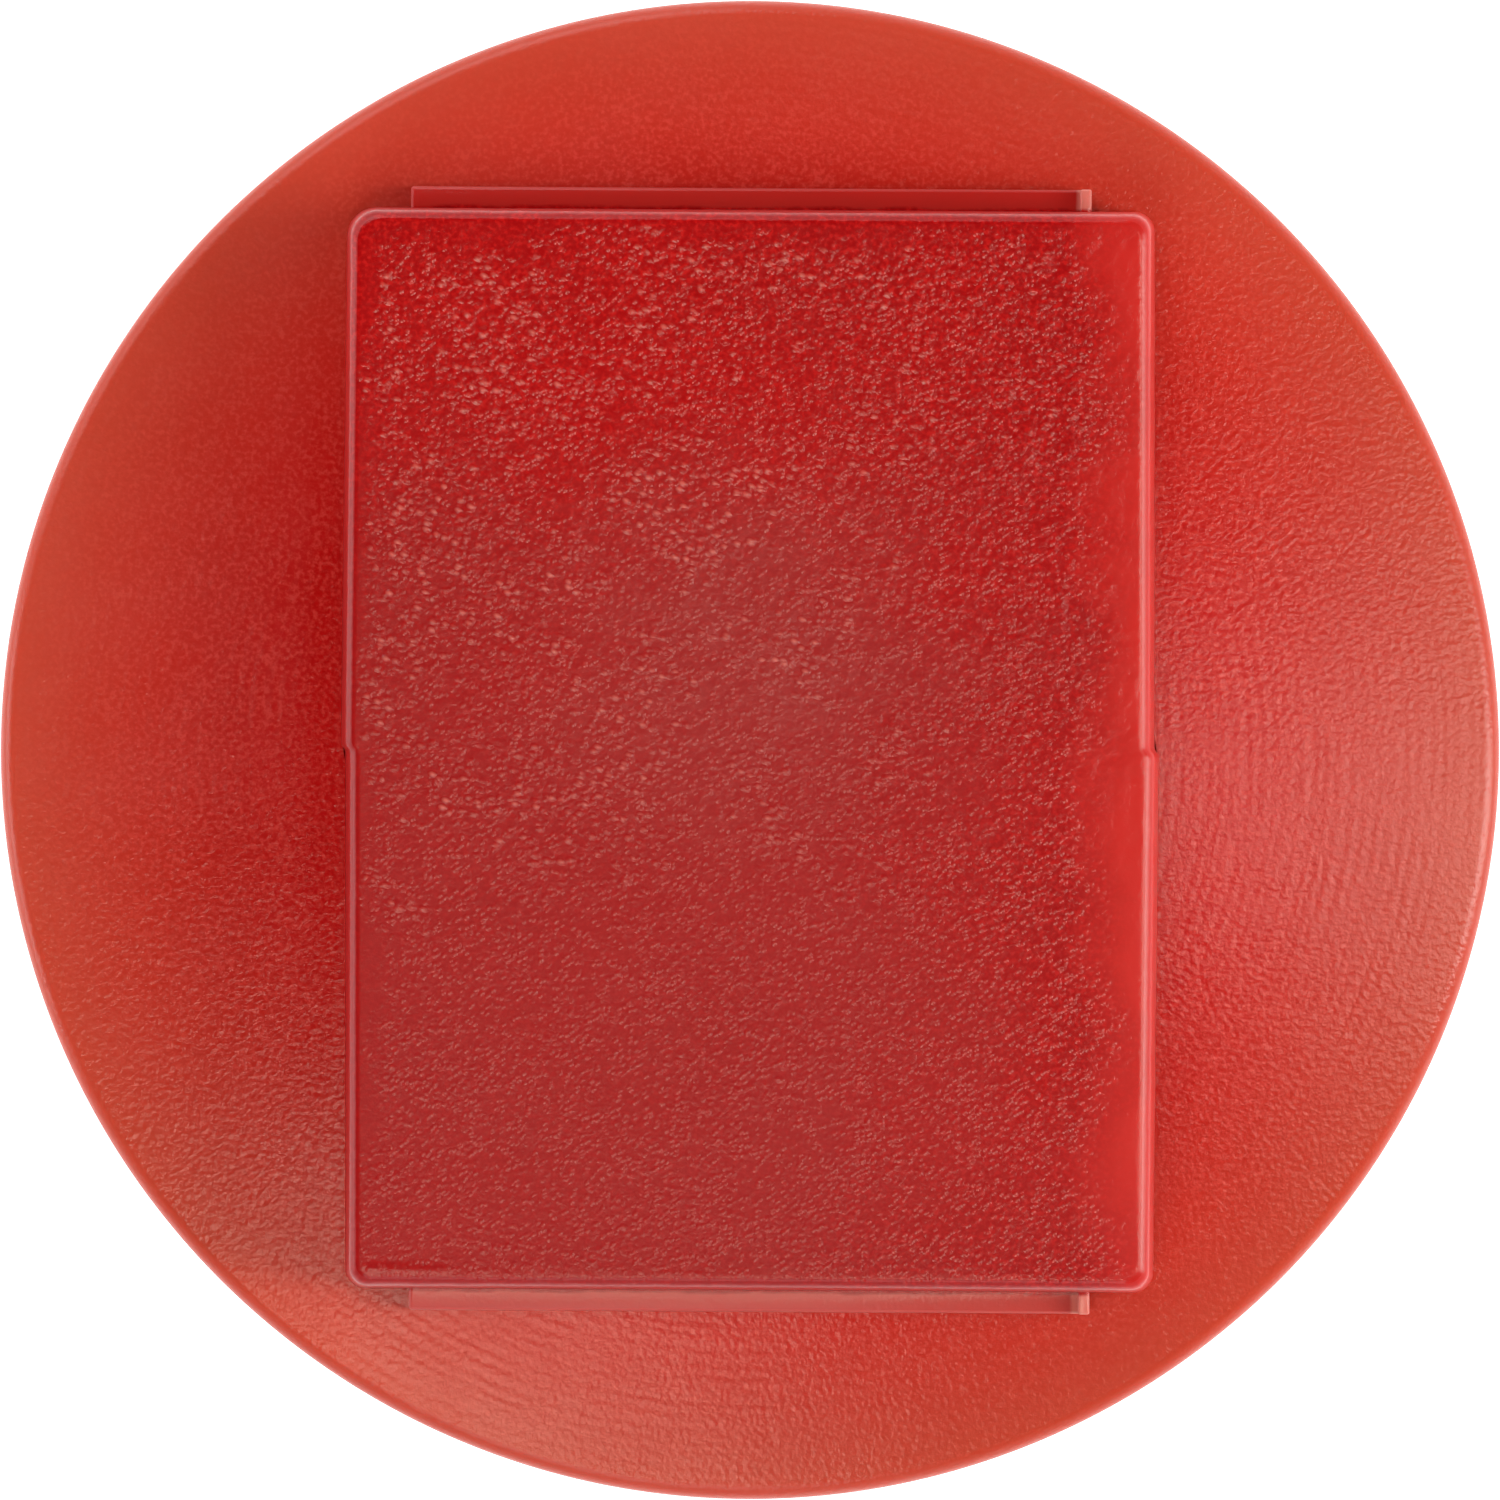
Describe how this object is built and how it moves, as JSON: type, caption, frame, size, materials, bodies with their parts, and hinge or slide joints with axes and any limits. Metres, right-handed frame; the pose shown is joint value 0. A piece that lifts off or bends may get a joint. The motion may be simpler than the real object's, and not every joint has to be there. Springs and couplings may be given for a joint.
{
  "type": "emergency stop push button",
  "caption": "Panel emergency stop button: red mushroom head with raised rectangular twist grip, latch, yellow ring, threaded barrel, lock nut and two contact modules.",
  "frame": {"origin": "on the button axis at the front face of the panel, which is the underside of the gasket", "axes": "+Z out of the panel along the axis of the head, towards the operator; +Y up, along the grip block, seen from the front; +X to the right"},
  "size_m": [0.04, 0.04, 0.0824],
  "materials": {
    "red_head": "signal red moulding, fine turning marks",
    "red_cap": "signal red moulding, spark-eroded face",
    "zinc_steel": "zinc plated",
    "steel_shaft": "turned steel",
    "spring_steel": "drawn spring wire",
    "white_nylon": "natural nylon",
    "black_housing": "fine matt moulding",
    "black_nut": "matt moulding",
    "black_carrier": "matt moulding",
    "black_rubber": "matt rubber",
    "yellow_bezel": "satin yellow moulding",
    "blue_lever": "matt moulding",
    "grey_module": "matt glass-filled moulding",
    "grey_cover": "satin moulding",
    "red_plunger": "satin moulding",
    "green_plunger": "satin moulding",
    "silver_brass": "bright strip with silvered tips"
  },
  "bodies": {
    "base": {"housing": "black_housing", "bezel_ring": "yellow_bezel", "panel_gasket": "black_rubber", "stem_seal": "black_rubber", "seal_cover": "white_nylon", "return_spring": "spring_steel", "latch_cage": "white_nylon", "cage_cover": "white_nylon", "cage_ring": "spring_steel", "dog_ring_spring": "spring_steel", "tab_washer": "zinc_steel", "lock_nut": "black_nut", "contact_carrier": "black_carrier", "lever_pin": "zinc_steel", "nc_contact_body": "grey_module", "nc_contact_cover": "grey_cover", "nc_plunger_spring": "spring_steel", "nc_terminal_upper": "silver_brass", "nc_terminal_lower": "silver_brass", "nc_terminal_screws": "zinc_steel", "nc_wire_clamps": "zinc_steel", "no_contact_body": "grey_module", "no_contact_cover": "grey_cover", "no_plunger_spring": "spring_steel", "no_terminal_upper": "silver_brass", "no_terminal_lower": "silver_brass", "no_terminal_screws": "zinc_steel", "no_wire_clamps": "zinc_steel"},
    "push_stem": {"spindle": "steel_shaft", "rotor_clip": "spring_steel", "slip_washer": "zinc_steel", "pusher_plate": "white_nylon", "pusher_screw": "zinc_steel", "head_screw": "zinc_steel", "head_washer": "zinc_steel", "twist_spring": "spring_steel"},
    "head": {"mushroom_head": "red_head", "grip_cap": "red_cap", "rotor": "white_nylon"},
    "upper_dog": {"latch_dog_upper": "steel_shaft"},
    "lower_dog": {"latch_dog_lower": "steel_shaft"},
    "nc_slider": {"nc_plunger": "red_plunger", "nc_bridge": "silver_brass", "nc_bridge_spring": "spring_steel"},
    "no_slider": {"no_plunger": "green_plunger", "no_bridge": "silver_brass", "no_bridge_spring": "spring_steel"},
    "carrier_lever": {"lock_lever": "blue_lever"}
  },
  "joints": [
    {"name": "head_push", "type": "slide", "parent": "base", "child": "push_stem", "axis": [0, 0, -1], "range_m": [0, 0.005], "stiffness_N_per_m": 1500, "springref_m": -0.003, "deforming": ["return_spring"]},
    {"name": "head_twist", "type": "hinge", "parent": "push_stem", "child": "head", "pos_m": [0, 0, 0.02533], "axis": [0, 0, -1], "range_deg": [0, 35], "stiffness_Nm_per_rad": 0.08, "springref_deg": -17.19},
    {"name": "upper_dog_slide", "type": "slide", "parent": "base", "child": "upper_dog", "axis": [0, -1, 0], "range_m": [0, 0.001]},
    {"name": "lower_dog_slide", "type": "slide", "parent": "base", "child": "lower_dog", "axis": [0, 1, 0], "range_m": [0, 0.001]},
    {"name": "nc_press", "type": "slide", "parent": "base", "child": "nc_slider", "axis": [0, 0, -1], "range_m": [0, 0.005], "stiffness_N_per_m": 200, "springref_m": -0.002, "deforming": ["nc_plunger_spring"]},
    {"name": "no_press", "type": "slide", "parent": "base", "child": "no_slider", "axis": [0, 0, -1], "range_m": [0, 0.005], "stiffness_N_per_m": 200, "springref_m": -0.002, "deforming": ["no_plunger_spring"]},
    {"name": "lever_swing", "type": "hinge", "parent": "base", "child": "carrier_lever", "pos_m": [0.0119, 0.0119, -0.01867], "axis": [0, 0, -1], "range_deg": [0, 60]}
  ],
  "couplings": [
    {"joint": "upper_dog_slide", "follows": "head_push", "ratio": 0.2},
    {"joint": "lower_dog_slide", "follows": "head_push", "ratio": 0.2},
    {"joint": "nc_press", "follows": "head_push", "ratio": 1},
    {"joint": "no_press", "follows": "head_push", "ratio": 1}
  ]
}
